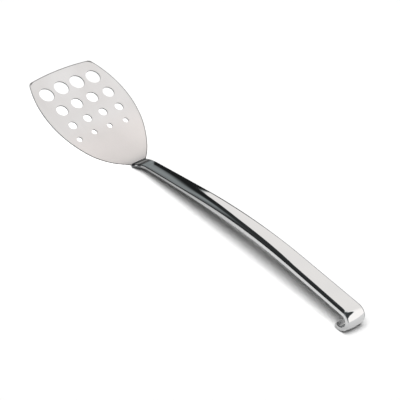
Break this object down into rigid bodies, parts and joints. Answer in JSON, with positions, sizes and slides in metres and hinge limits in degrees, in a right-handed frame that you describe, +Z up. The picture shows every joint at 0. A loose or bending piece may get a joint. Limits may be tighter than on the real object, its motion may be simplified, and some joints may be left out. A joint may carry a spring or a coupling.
{
  "type": "fish spatula",
  "caption": "Perforated stainless turner blade, slightly dished at its base, welded to a polished arched handle that ends in a curled hanging hook.",
  "frame": {"origin": "on the table, under the middle of the whole length, where the heel and the hook stand", "axes": "+X from the blade towards the hook, +Y across the blade towards the side that the hole columns bow to, +Z up from the table"},
  "size_m": [0.3404, 0.0834, 0.0288],
  "materials": {
    "satin_steel": "fine satin, lightly brushed",
    "polished_steel": "mirror polished",
    "weld_steel": "dressed and polished weld"
  },
  "bodies": {
    "root": {"blade": "satin_steel", "handle": "polished_steel", "seam_weld": "weld_steel", "foot_weld": "weld_steel", "spot_welds": "weld_steel"}
  },
  "joints": []
}
